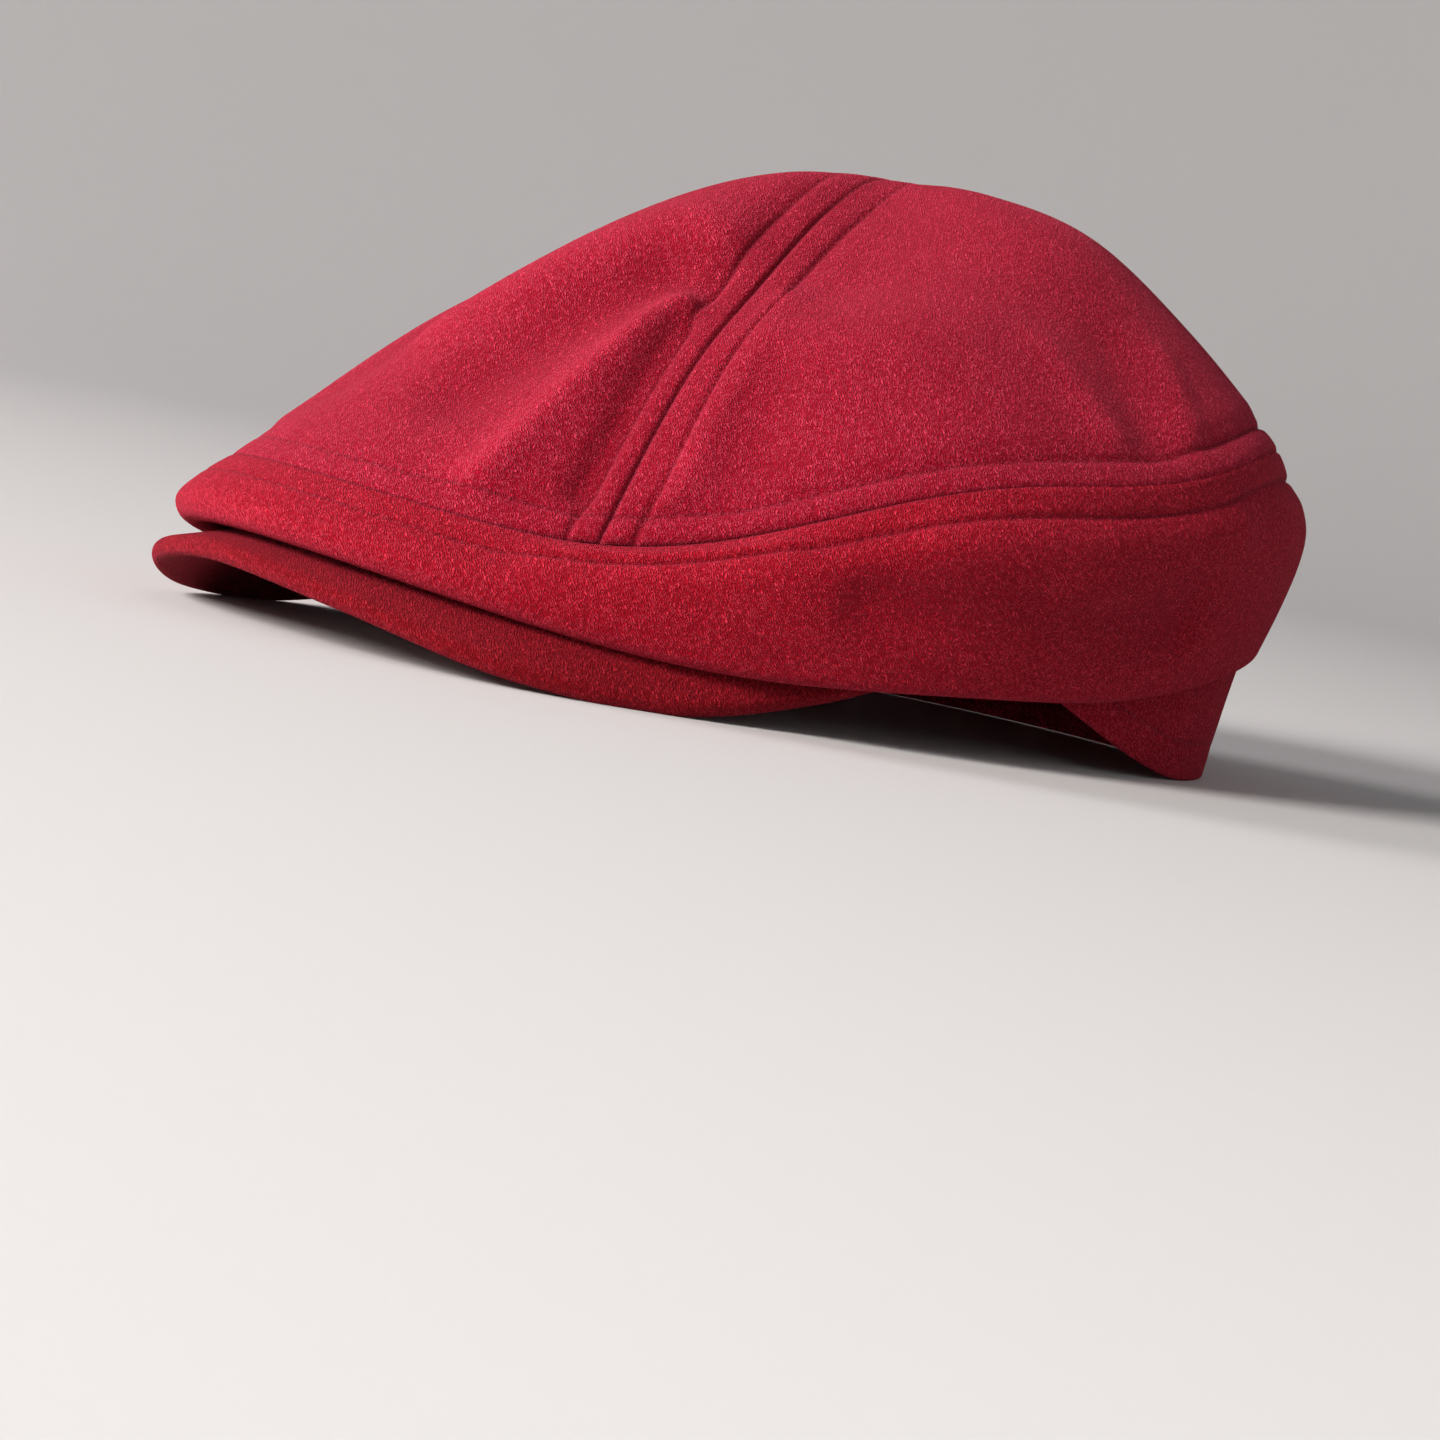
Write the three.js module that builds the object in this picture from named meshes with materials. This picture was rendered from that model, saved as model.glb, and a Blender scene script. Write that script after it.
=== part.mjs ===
// A flat cloth cap with a short stiff peak under its rolled front, in millimetres.
// The front of the cap looks along -Y, the wearer's left is +X, and it stands on the plane Z = 0.
// Angles go round the cap in degrees from the middle of the front, positive to the wearer's left.
import * as THREE from "three";

// Driving dimensions
const CLOTH = 1.6;
const PIECE_GAP = 0.3;
const CROWN_TIP = { back: 9.4, up: 112.9 };
const TIP_HOLE_RADIUS = 0.8;
const FRONT_SEAM_ANGLE = 33.5;
const FRONT_HEM_HEIGHT = 20.4;
const HEM_DROP = { startsAt: 79, reachesTableAt: 134 };
const PEAK_BOARD = 4.4;
const PEAK_CROWN = { height: 0.6, mostPerLength: 1 / 24 };

// The side band, one row every 30 degrees from the front to the nape, alike left and right.
// out is the distance from the middle of the head, up the height above the table:
// the seam to the top panels, the widest line, and the lowest line of the fold over the rim.
// roll is half the thickness of that fold, tuck how far the cloth rises again inside it.
const BAND_ROWS = [
  {
    seamOut: 128.7, seamUp: 33.2, wideOut: 134.9, wideUp: 28.6,
    foldOut: 133, foldUp: 18.6, roll: 4.9, tuck: 3.6, hemOut: 105.4,
  },
  {
    seamOut: 110, seamUp: 30.1, wideOut: 117, wideUp: 22.4,
    foldOut: 115.9, foldUp: 12.2, roll: 4.2, tuck: 3.6, hemOut: 96.4,
  },
  {
    seamOut: 97.4, seamUp: 45.3, wideOut: 103.9, wideUp: 33.5,
    foldOut: 96.5, foldUp: 10.1, roll: 3.4, tuck: 3.6, hemOut: 86.2,
  },
  {
    seamOut: 93.8, seamUp: 58.1, wideOut: 98, wideUp: 39.7,
    foldOut: 88.4, foldUp: 13.4, roll: 3.6, tuck: 3.6, hemOut: 82,
  },
  {
    seamOut: 96.8, seamUp: 67.1, wideOut: 99.8, wideUp: 47.6,
    foldOut: 91.2, foldUp: 18.8, roll: 3.5, tuck: 2.5, hemOut: 88,
  },
  {
    seamOut: 102.8, seamUp: 71.3, wideOut: 111.6, wideUp: 55.2,
    foldOut: 104.4, foldUp: 28.6, roll: 1.8, tuck: -3.4, hemOut: 98.5,
  },
  {
    seamOut: 111.8, seamUp: 64.3, wideOut: 120, wideUp: 54.4,
    foldOut: 107.9, foldUp: 31.2, roll: 1.4, tuck: -6, hemOut: 98,
  },
];

// The crown, one row every 45 degrees: the share of the fall from the crown's tip to the seam
// that lies behind at a quarter, a half and three quarters of the way out.
const CROWN_ROWS = [
  { quarter: 0.073, half: 0.303, threeQuarters: 0.654 },
  { quarter: 0.129, half: 0.33, threeQuarters: 0.531 },
  { quarter: 0.082, half: 0.262, threeQuarters: 0.562 },
  { quarter: -0.006, half: 0.12, threeQuarters: 0.511 },
  { quarter: 0.042, half: 0.205, threeQuarters: 0.517 },
];

// Folds and dents of the crown, each a soft ridge between two places on it.
// angle and share (0 at the tip, 1 at the band's seam) give the ends, height is negative in a dent.
const CROWN_FOLDS = [
  { from: [14, 0.42], to: [-5, 0.7], width: 11, height: 2.8 },
  { from: [17.5, 0.54], to: [10, 0.82], width: 10, height: -3.2 },
  { from: [20, 0.96], to: [25, 0.6], width: 4.5, height: 2.6 },
  { from: [20.5, 0.95], to: [24.5, 0.66], width: 9, height: 1.6 },
  { from: [29.5, 0.94], to: [27.5, 0.66], width: 4.5, height: -3 },
  { from: [-21, 0.93], to: [-27, 0.55], width: 9, height: 1.6 },
  { from: [-29, 0.9], to: [-27.5, 0.62], width: 5, height: -1.2 },
  { from: [-16, 0.6], to: [-13, 0.84], width: 12, height: -2 },
  { from: [39, 0.94], to: [39, 0.55], width: 5.5, height: 1.8 },
  { from: [46, 0.93], to: [46, 0.8], width: 8, height: -1.2 },
  { from: [-40, 0.94], to: [-41, 0.5], width: 7, height: 1.8 },
  { from: [91, 0.74], to: [97, 0.91], width: 6, height: 1.1 },
  { from: [107, 0.73], to: [105, 0.9], width: 7, height: -1.3 },
  { from: [118, 0.78], to: [113, 0.93], width: 5.5, height: 1.1 },
  { from: [-93, 0.72], to: [-98, 0.91], width: 6, height: 1 },
  { from: [-119, 0.77], to: [-114, 0.93], width: 6, height: 1.2 },
];

// Folds and dents of the side band, in spans below its seam: 1 is the widest line, 2 the fold.
const BAND_FOLDS = [
  { from: [30, 0.6], to: [52, 0.5], width: 6, height: 1.4 },
  { from: [64, 1.3], to: [112, 1.4], width: 8, height: -2.7 },
  { from: [70, 0.6], to: [120, 0.6], width: 6, height: 1.2 },
  { from: [88, 1.2], to: [95, 1.1], width: 3.4, height: 0.6 },
  { from: [-30, 0.6], to: [-50, 0.5], width: 6, height: 1.4 },
  { from: [-66, 1.3], to: [-104, 1.4], width: 8, height: -2.6 },
  { from: [-74, 0.6], to: [-118, 0.6], width: 6, height: 1.2 },
];

// The rim of the peak, to each side of the middle of the front.
const PEAK_ROWS = [
  { angle: 0, out: 139, up: 11.7 },
  { angle: 15, out: 135.2, up: 8 },
  { angle: 30, out: 124.8, up: 1.5 },
  { angle: 45, out: 107.5, up: 0.1 },
  { angle: 60, out: 92.1, up: 6 },
  { angle: 72, out: 86.6, up: 12.7 },
];

// How finely each surface is faceted
const BAND_STEPS = { around: 72, perSpan: [4, 5, 2, 2, 2, 2, 4] };
const FRONT_PANEL_STEPS = { around: 20, out: 16 };
const REAR_PANEL_STEPS = { around: 24, out: 13 };
const PEAK_STEPS = { around: 36, across: 5, rim: 4 };

// How closely rows of the top panels draw together towards the band, 1 for even rows
const PANEL_ROW_POWER = 0.9;

// Where folds fade out beside the seams, in spans of each surface. The crown's folds also fade
// beside the side seams, over these shares of the way out, measured across from the seam.
const CROWN_FADES = { in: [0.02, 0.12], out: [0.93, 0.99] };
const BAND_FADES = { in: [0.05, 0.4], out: [1.7, 2] };
const SIDE_SEAM_FADE = [0.02, 0.075];

// Steps in share and in degrees over which a slope is measured
const SHARE_STEP = 0.004;
const ANGLE_STEP = 0.36;

const radians = THREE.MathUtils.degToRad;
const degrees = THREE.MathUtils.radToDeg;
const smooth = THREE.MathUtils.smoothstep;

// Where the vertical half plane at an angle has a point, from its distance out and its height.
function placeAt(angle, out, up) {
  return new THREE.Vector3(out * Math.sin(radians(angle)), -out * Math.cos(radians(angle)), up);
}

// A smooth curve of the angle through values given at even steps from front to back:
// the sum of cosine waves that passes through all of them, so left and right are alike.
function throughStations(values) {
  const last = values.length - 1;
  const half = (i) => (i === 0 || i === last ? 0.5 : 1);
  const waves = values.map((_, k) => {
    const sum = values.reduce((s, v, i) => s + half(i) * v * Math.cos((Math.PI * k * i) / last), 0);
    return (2 / last) * half(k) * sum;
  });
  return (angle) => waves.reduce((s, wave, k) => s + wave * Math.cos(k * radians(angle)), 0);
}

function columnsOf(rows) {
  const names = Object.keys(rows[0]);
  return Object.fromEntries(names.map((name) => [name, throughStations(rows.map((row) => row[name]))]));
}

const band = columnsOf(BAND_ROWS);
const crown = columnsOf(CROWN_ROWS);
const tip = new THREE.Vector3(0, CROWN_TIP.back, CROWN_TIP.up);

function hemHeight(angle) {
  return FRONT_HEM_HEIGHT * (1 - smooth(Math.abs(angle), HEM_DROP.startsAt, HEM_DROP.reachesTableAt));
}

// The plain crown, without folds: straight out in plan, falling along a smooth curve whose slope
// is level at the tip and that of a parabola through the last two quarters at the seam.
function plainCrown(angle, share) {
  const seam = placeAt(angle, band.seamOut(angle), band.seamUp(angle));
  const falls = [0, crown.quarter(angle), crown.half(angle), crown.threeQuarters(angle), 1];
  const i = Math.min(Math.max(Math.floor(share * 4), 0), 3);
  const t = share * 4 - i;
  const slopeAt = (k) => {
    if (k === 0) return 0;
    if (k === 4) return 1.5 * (falls[4] - falls[3]) - (falls[4] - falls[2]) / 4;
    return (falls[k + 1] - falls[k - 1]) / 2;
  };
  const fall =
    falls[i] * (1 + 2 * t) * (1 - t) ** 2 +
    slopeAt(i) * t * (1 - t) ** 2 +
    falls[i + 1] * t * t * (3 - 2 * t) +
    slopeAt(i + 1) * t * t * (t - 1);
  return new THREE.Vector3().lerpVectors(tip, seam, share).setZ(tip.z - (tip.z - seam.z) * fall);
}

// The plain side band: down from the seam over the widest line, round the fold and up to the hem.
// The fold is a half circle, drawn out on the inside as far as the cloth is tucked.
const BAND_SPANS = BAND_STEPS.perSpan.length;
const bandProfiles = new Map();
function bandProfile(angle) {
  if (!bandProfiles.has(angle)) {
    const roll = band.roll(angle);
    const tuck = band.tuck(angle);
    const fold = (out, up) => placeAt(angle, band.foldOut(angle) + out, band.foldUp(angle) + up);
    const line = [
      placeAt(angle, band.seamOut(angle), band.seamUp(angle)),
      placeAt(angle, band.wideOut(angle), band.wideUp(angle)),
      fold(roll, roll),
      fold(roll * Math.SQRT1_2, roll * (1 - Math.SQRT1_2)),
      fold(0, 0),
      fold(-roll * Math.SQRT1_2, tuck * (1 - Math.SQRT1_2)),
      fold(-roll, tuck),
      placeAt(angle, band.hemOut(angle), hemHeight(angle)),
    ];
    bandProfiles.set(angle, new THREE.CatmullRomCurve3(line, false, "centripetal"));
  }
  return bandProfiles.get(angle);
}

function plainBand(angle, share) {
  return bandProfile(angle).getPoint(THREE.MathUtils.clamp(share, 0, 1));
}

function plainBandLength(angle) {
  return bandProfile(angle).getLength();
}

// The direction square to a surface of angle and share, away from the inside of the cap.
function outwards(surface, angle, share) {
  const along = surface(angle + ANGLE_STEP, share).sub(surface(angle - ANGLE_STEP, share));
  const down = surface(angle, share + SHARE_STEP).sub(surface(angle, share - SHARE_STEP));
  return down.cross(along).normalize();
}

// Adds the folds of a table to a surface. Each is a bell across its line, and fades at the seams.
// Their ends are given in spans, of which the whole surface has so many. shareLeft gives a
// further fade by the place.
function withFolds(surface, folds, spans, fades, shareLeft) {
  const end = ([angle, span]) => surface(angle, span / spans);
  const lines = folds.map(({ from, to, width, height }) => ({
    line: new THREE.Line3(end(from), end(to)),
    width,
    height,
  }));
  const nearest = new THREE.Vector3();
  return (angle, share) => {
    const place = surface(angle, share);
    const lift = lines.reduce((sum, { line, width, height }) => {
      line.closestPointToPoint(place, true, nearest);
      return sum + height * Math.exp(-((nearest.distanceTo(place) / width) ** 2));
    }, 0);
    const fade = smooth(share * spans, ...fades.in) * (1 - smooth(share * spans, ...fades.out));
    return place.addScaledVector(outwards(surface, angle, share), lift * fade * shareLeft(angle, share));
  };
}

// How much of a fold is left at a place of the crown: none on a side seam, all a little way off.
function awayFromSideSeam(angle, share) {
  const across = share * Math.abs(Math.sin(radians(Math.abs(angle) - FRONT_SEAM_ANGLE)));
  return smooth(across, ...SIDE_SEAM_FADE);
}

const crownSurface = withFolds(plainCrown, CROWN_FOLDS, 1, CROWN_FADES, awayFromSideSeam);
const bandSurface = withFolds(plainBand, BAND_FOLDS, BAND_SPANS, BAND_FADES, () => 1);

// Crown and band as one surface, so that both are mitred alike at their seam:
// 0 to 1 down the crown and 1 to 2 down the band.
function capSurface(angle, share) {
  return share <= 1 ? crownSurface(angle, Math.max(share, 0)) : bandSurface(angle, Math.min(share - 1, 1));
}

// Outer and inner face of the cloth at a place. Both rows along the band's seam are mitred alike:
// their thickness runs square to the cap on the seam itself.
function clothPair(angle, share, alongSeam = false) {
  const outer = capSurface(angle, share);
  const inner = outer.clone().addScaledVector(outwards(capSurface, angle, alongSeam ? 1 : share), -CLOTH);
  return { outer, inner };
}

// A closed body from two grids of points that lie face to face: rows across, columns along.
// With ring true the last column meets the first, and only the two long rims are closed.
function bodyBetween(outerRows, innerRows, ring) {
  const rows = outerRows.length;
  const columns = outerRows[0].length;
  const points = [...outerRows.flat(), ...innerRows.flat()];
  const outer = (r, c) => r * columns + (c % columns);
  const inner = (r, c) => rows * columns + outer(r, c);
  const faces = [];
  const quad = (a, b, c, d) => faces.push(a, b, c, a, c, d);
  const lastColumn = ring ? columns : columns - 1;
  for (let c = 0; c < lastColumn; c++) {
    for (let r = 0; r < rows - 1; r++) {
      quad(outer(r, c), outer(r + 1, c), outer(r + 1, c + 1), outer(r, c + 1));
      quad(inner(r, c), inner(r, c + 1), inner(r + 1, c + 1), inner(r + 1, c));
    }
    quad(outer(0, c), outer(0, c + 1), inner(0, c + 1), inner(0, c));
    quad(outer(rows - 1, c), inner(rows - 1, c), inner(rows - 1, c + 1), outer(rows - 1, c + 1));
  }
  if (!ring) {
    for (let r = 0; r < rows - 1; r++) {
      const c = columns - 1;
      quad(outer(r, 0), inner(r, 0), inner(r + 1, 0), outer(r + 1, 0));
      quad(outer(r, c), outer(r + 1, c), inner(r + 1, c), inner(r, c));
    }
  }
  return geometryOf(points, faces);
}

function geometryOf(points, faces) {
  const geometry = new THREE.BufferGeometry().setFromPoints(points);
  geometry.setIndex(faces);
  geometry.computeVertexNormals();
  return geometry;
}

// A top panel between two seams that run down from the crown's tip.
// Its edges stay half a gap from each seam, and the last row half a gap from the band.
function topPanel(fromAngle, toAngle, steps) {
  const outerRows = [];
  const innerRows = [];
  const reach = (angle) => plainCrown(angle, 1).sub(tip).setZ(0).length();
  for (let r = 0; r <= steps.out; r++) {
    const evenly = r / steps.out;
    const outerRow = [];
    const innerRow = [];
    for (let c = 0; c <= steps.around; c++) {
      const onSeam = THREE.MathUtils.lerp(fromAngle, toAngle, c / steps.around);
      const first = TIP_HOLE_RADIUS / reach(onSeam);
      const last = 1 - PIECE_GAP / 2 / reach(onSeam);
      const share = THREE.MathUtils.lerp(first, last, evenly ** PANEL_ROW_POWER);
      const inset = degrees(PIECE_GAP / 2 / (share * reach(onSeam)));
      const angle = THREE.MathUtils.lerp(fromAngle + inset, toAngle - inset, c / steps.around);
      const { outer, inner } = clothPair(angle, share, r === steps.out);
      outerRow.push(outer);
      innerRow.push(inner);
    }
    outerRows.push(outerRow);
    innerRows.push(innerRow);
  }
  return bodyBetween(outerRows, innerRows, false);
}

// The side band goes round in one piece. Its hem lies flat on the table round the nape.
function sideBand() {
  const shares = [0];
  BAND_STEPS.perSpan.forEach((steps, span) => {
    for (let i = 1; i <= steps; i++) shares.push((span + i / steps) / BAND_SPANS);
  });
  const angles = Array.from({ length: BAND_STEPS.around }, (_, c) => (c * 360) / BAND_STEPS.around - 180);
  const pairs = shares.map((share) =>
    angles.map((angle) => {
      const start = PIECE_GAP / 2 / plainBandLength(angle);
      const pair = clothPair(angle, 1 + Math.max(share, start), share === 0);
      if (share === 1 && hemHeight(angle) === 0) pair.inner.setZ(0);
      return pair;
    }),
  );
  const grid = (side) => pairs.map((row) => row.map((pair) => pair[side]));
  return bodyBetween(grid("outer"), grid("inner"), true);
}

// The peak: a stiff board in cloth that springs from the front hem, with a rounded rim.
// Its section runs from the root over a slightly crowned upper face, round the rim and back.
function peak() {
  const rows = [...PEAK_ROWS.slice(1).reverse().map((row) => ({ ...row, angle: -row.angle })), ...PEAK_ROWS];
  const half = PEAK_BOARD / 2;
  const rimLine = new THREE.CatmullRomCurve3(
    rows.map(({ angle, out, up }) => placeAt(angle, out - half, up + half)),
  );
  const sections = [];
  for (let c = 0; c <= PEAK_STEPS.around; c++) {
    const rim = rimLine.getPoint(c / PEAK_STEPS.around);
    rim.setZ(Math.max(rim.z, half));
    const angle = degrees(Math.atan2(rim.x, -rim.y));
    const root = clothPair(angle, 2).outer;
    root.addScaledVector(outwards(plainBand, angle, 1), half + PIECE_GAP);
    sections.push(peakSection(root, rim, angle, half));
  }
  return loftOf(sections);
}

function peakSection(root, rim, angle, half) {
  const chord = rim.clone().sub(root);
  const sideways = placeAt(angle + 90, 1, 0);
  const upwards = chord.clone().cross(sideways).normalize();
  const crownHeight = Math.min(PEAK_CROWN.height, chord.length() * PEAK_CROWN.mostPerLength);
  const crownAt = (t) => Math.sin(Math.PI * t) * crownHeight;
  const upper = [];
  const lower = [];
  for (let i = 0; i <= PEAK_STEPS.across; i++) {
    const t = i / PEAK_STEPS.across;
    const middle = root.clone().addScaledVector(chord, t);
    upper.push(middle.clone().addScaledVector(upwards, crownAt(t) + half));
    lower.unshift(middle.clone().addScaledVector(upwards, crownAt(t) - half));
  }
  const ahead = chord.clone().normalize();
  const round = [];
  for (let i = 1; i < PEAK_STEPS.rim; i++) {
    const turn = Math.PI / 2 - (i * Math.PI) / PEAK_STEPS.rim;
    const point = rim.clone();
    point.addScaledVector(upwards, half * Math.sin(turn));
    point.addScaledVector(ahead, half * Math.cos(turn));
    round.push(point);
  }
  return [...upper, ...round, ...lower].map((point) => point.setZ(Math.max(point.z, 0)));
}

// A closed body through a row of closed sections with equal numbers of points.
function loftOf(sections) {
  const size = sections[0].length;
  const at = (s, i) => s * size + (i % size);
  const faces = [];
  for (let s = 0; s < sections.length - 1; s++) {
    for (let i = 0; i < size; i++) {
      faces.push(at(s, i), at(s, i + 1), at(s + 1, i + 1), at(s, i), at(s + 1, i + 1), at(s + 1, i));
    }
  }
  const last = sections.length - 1;
  for (let i = 0; i < size / 2 - 1; i++) {
    const j = size - 1 - i;
    faces.push(at(0, i), at(0, j), at(0, i + 1), at(last, i), at(last, i + 1), at(last, j));
    if (i + 1 < j - 1) {
      faces.push(at(0, i + 1), at(0, j), at(0, j - 1), at(last, i + 1), at(last, j - 1), at(last, j));
    }
  }
  return geometryOf(sections.flat(), faces);
}

function clothPiece(name, geometry, colour) {
  const material = new THREE.MeshStandardMaterial({ color: colour, roughness: 0.95, metalness: 0 });
  const mesh = new THREE.Mesh(geometry, material);
  mesh.name = name;
  return mesh;
}

const cap = new THREE.Group();
cap.add(
  clothPiece("front_top_panel", topPanel(-FRONT_SEAM_ANGLE, FRONT_SEAM_ANGLE, FRONT_PANEL_STEPS), 0xb81c35),
  clothPiece("rear_left_top_panel", topPanel(FRONT_SEAM_ANGLE, 180, REAR_PANEL_STEPS), 0xb21a33),
  clothPiece("rear_right_top_panel", topPanel(-180, -FRONT_SEAM_ANGLE, REAR_PANEL_STEPS), 0xb21a33),
  clothPiece("side_band", sideBand(), 0xad1930),
  clothPiece("peak", peak(), 0xa8172d),
);

// The origin lies under the middle of the whole cap, on the table.
const box = new THREE.Box3().setFromObject(cap);
const middle = box.getCenter(new THREE.Vector3());
cap.position.set(-middle.x, -middle.y, -box.min.z);

export default cap;
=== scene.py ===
import math
import bpy
import numpy as np
from mathutils import Matrix, Vector


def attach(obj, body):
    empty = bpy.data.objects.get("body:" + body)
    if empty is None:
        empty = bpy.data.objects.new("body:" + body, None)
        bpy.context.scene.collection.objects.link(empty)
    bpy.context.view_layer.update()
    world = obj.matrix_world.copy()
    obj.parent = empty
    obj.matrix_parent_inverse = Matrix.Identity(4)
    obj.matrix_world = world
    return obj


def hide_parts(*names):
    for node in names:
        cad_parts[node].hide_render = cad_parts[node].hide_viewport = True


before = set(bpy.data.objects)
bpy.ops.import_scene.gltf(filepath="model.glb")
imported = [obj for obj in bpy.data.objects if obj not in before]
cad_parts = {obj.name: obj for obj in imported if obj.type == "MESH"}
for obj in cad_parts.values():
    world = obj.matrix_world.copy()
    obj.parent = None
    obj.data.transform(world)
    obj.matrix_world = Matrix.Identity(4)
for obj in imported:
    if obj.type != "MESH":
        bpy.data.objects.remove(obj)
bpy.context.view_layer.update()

print("frame loaded,", len(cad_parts), "nodes")

# The cap's own measures, in millimetres and degrees. Angles go round from the middle of the
# front, positive to the wearer's left. shift moves the cap so that it stands over the origin.
capShape = dict(
    cloth=1.6, seamAngle=33.5, besideSeam=(0.02, 0.075), tipBack=9.4, tipUp=112.9, tipRadius=0.12,
    frontHem=20.4, hemDropFrom=79.0, hemDropTo=134.0, shift=(0.072, 9.49, 0.0),
)

# The side band every 30 degrees from the front to the nape.
bandRows = dict(
    seamOut=[128.7, 110, 97.4, 93.8, 96.8, 102.8, 111.8],
    seamUp=[33.2, 30.1, 45.3, 58.1, 67.1, 71.3, 64.3],
    wideOut=[134.9, 117, 103.9, 98, 99.8, 111.6, 120],
    wideUp=[28.6, 22.4, 33.5, 39.7, 47.6, 55.2, 54.4],
    foldOut=[133, 115.9, 96.5, 88.4, 91.2, 104.4, 107.9],
    foldUp=[18.6, 12.2, 10.1, 13.4, 18.8, 28.6, 31.2],
    roll=[4.9, 4.2, 3.4, 3.6, 3.5, 1.8, 1.4],
    tuck=[3.6, 3.6, 3.6, 3.6, 2.5, -3.4, -6],
    hemOut=[105.4, 96.4, 86.2, 82, 88, 98.5, 98],
)

# The crown every 45 degrees: shares of the fall from tip to seam at a quarter, half, three quarters.
crownRows = dict(
    quarter=[0.073, 0.129, 0.082, -0.006, 0.042],
    half=[0.303, 0.33, 0.262, 0.12, 0.205],
    threeQuarters=[0.654, 0.531, 0.562, 0.511, 0.517],
)

# Soft folds: from angle, from place, to angle, to place, width, height. A place is a share of the
# way from the tip to the seam on the crown, and a number of spans below the seam on the band.
crownFolds = [
    (14, 0.42, -5, 0.7, 11, 2.8), (17.5, 0.54, 10, 0.82, 10, -3.2), (20, 0.96, 25, 0.6, 4.5, 2.6),
    (20.5, 0.95, 24.5, 0.66, 9, 1.6), (29.5, 0.94, 27.5, 0.66, 4.5, -3), (-21, 0.93, -27, 0.55, 9, 1.6),
    (-29, 0.9, -27.5, 0.62, 5, -1.2), (-16, 0.6, -13, 0.84, 12, -2), (39, 0.94, 39, 0.55, 5.5, 1.8),
    (46, 0.93, 46, 0.8, 8, -1.2), (-40, 0.94, -41, 0.5, 7, 1.8), (91, 0.74, 97, 0.91, 6, 1.1),
    (107, 0.73, 105, 0.9, 7, -1.3), (118, 0.78, 113, 0.93, 5.5, 1.1), (-93, 0.72, -98, 0.91, 6, 1),
    (-119, 0.77, -114, 0.93, 6, 1.2),
]
bandFolds = [
    (30, 0.6, 52, 0.5, 6, 1.4), (64, 1.3, 112, 1.4, 8, -2.7), (70, 0.6, 120, 0.6, 6, 1.2),
    (88, 1.2, 95, 1.1, 3.4, 0.6), (-30, 0.6, -50, 0.5, 6, 1.4), (-66, 1.3, -104, 1.4, 8, -2.6),
    (-74, 0.6, -118, 0.6, 6, 1.2),
]

# Where the folds fade in and out: shares of the crown from the tip, and spans of the band.
foldFades = dict(crownFrom=(0.02, 0.12), crownTo=(0.93, 0.99), bandFrom=(0.05, 0.4), bandTo=(1.7, 2))
bandSpans = 7

# How the cloth lies at its seams and round the nape's hem, in millimetres from the seam or hem.
# The nape's own stitching starts between the angles napeFrom and napeTo, with threads from
# threadsFrom, and beyond is how far off it is set where there is none.
seamRelief = dict(
    grooveDepth=0.9, grooveWidth=0.6, stitchFromSeam=6.5, stitchDepth=0.75, stitchWidth=0.75,
    pressedDown=0.9, risesOver=6.0, puff=0.35, deepest=2.2, thinnest=0.7,
)
hemRelief = dict(
    stitchFromHem=8.0, depth=0.6, width=0.8, napeFrom=92, napeTo=108, threadsFrom=104, beyond=40,
)


def smoothStep(x, low, high):  # 0 below low, 1 above high, a smooth cubic between them
    t = np.clip((x - low) / (high - low), 0, 1)
    return t * t * (3 - 2 * t)


def unit(v):
    return v / np.maximum(np.linalg.norm(v, axis=-1, keepdims=True), 1e-12)


def gridPlaces(rows, columns):  # row and column of every cell of a grid, as two flat arrays
    return [grid.ravel() for grid in np.meshgrid(np.arange(rows), np.arange(columns), indexing="ij")]


# A cubic in t from one value to the next with a slope at each end.
def cubicBetween(start, startSlope, end, endSlope, t):
    return (
        start * (1 + 2 * t) * (1 - t) ** 2 + startSlope * t * (1 - t) ** 2
        + end * t * t * (3 - 2 * t) + endSlope * t * t * (t - 1)
    )


# A centripetal spline between the middle two of four points: a cubic whose slopes weigh the
# steps by the square roots of the distances.
def splineBetween(p, t):
    gap = [np.sqrt(np.linalg.norm(p[k + 1] - p[k], axis=-1, keepdims=True)) for k in range(3)]
    start = ((p[1] - p[0]) / gap[0] - (p[2] - p[0]) / (gap[0] + gap[1]) + (p[2] - p[1]) / gap[1]) * gap[1]
    end = ((p[2] - p[1]) / gap[1] - (p[3] - p[1]) / (gap[1] + gap[2]) + (p[3] - p[2]) / gap[2]) * gap[1]
    return cubicBetween(p[1], start, p[2], end, t)


# A point at an angle round the cap: out times the sine to the left, out times the cosine forwards.
def placeAt(angle, out, up):
    a = np.radians(angle)
    return np.stack(np.broadcast_arrays(out * np.sin(a), -out * np.cos(a), up), -1)


# The sum of cosine waves of the angle that passes through values at even steps, front to back.
def throughStations(values, angle):
    last = len(values) - 1
    k = np.arange(last + 1)
    half = np.where((k == 0) | (k == last), 0.5, 1.0)
    waves = 2 / last * half * (np.cos(np.pi * np.outer(k, k) / last) @ (half * np.array(values, float)))
    return np.cos(np.radians(angle)[..., None] * k) @ waves


def hemHeight(angle):
    c = capShape
    return c["frontHem"] * (1 - smoothStep(np.abs(angle), c["hemDropFrom"], c["hemDropTo"]))


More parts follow.
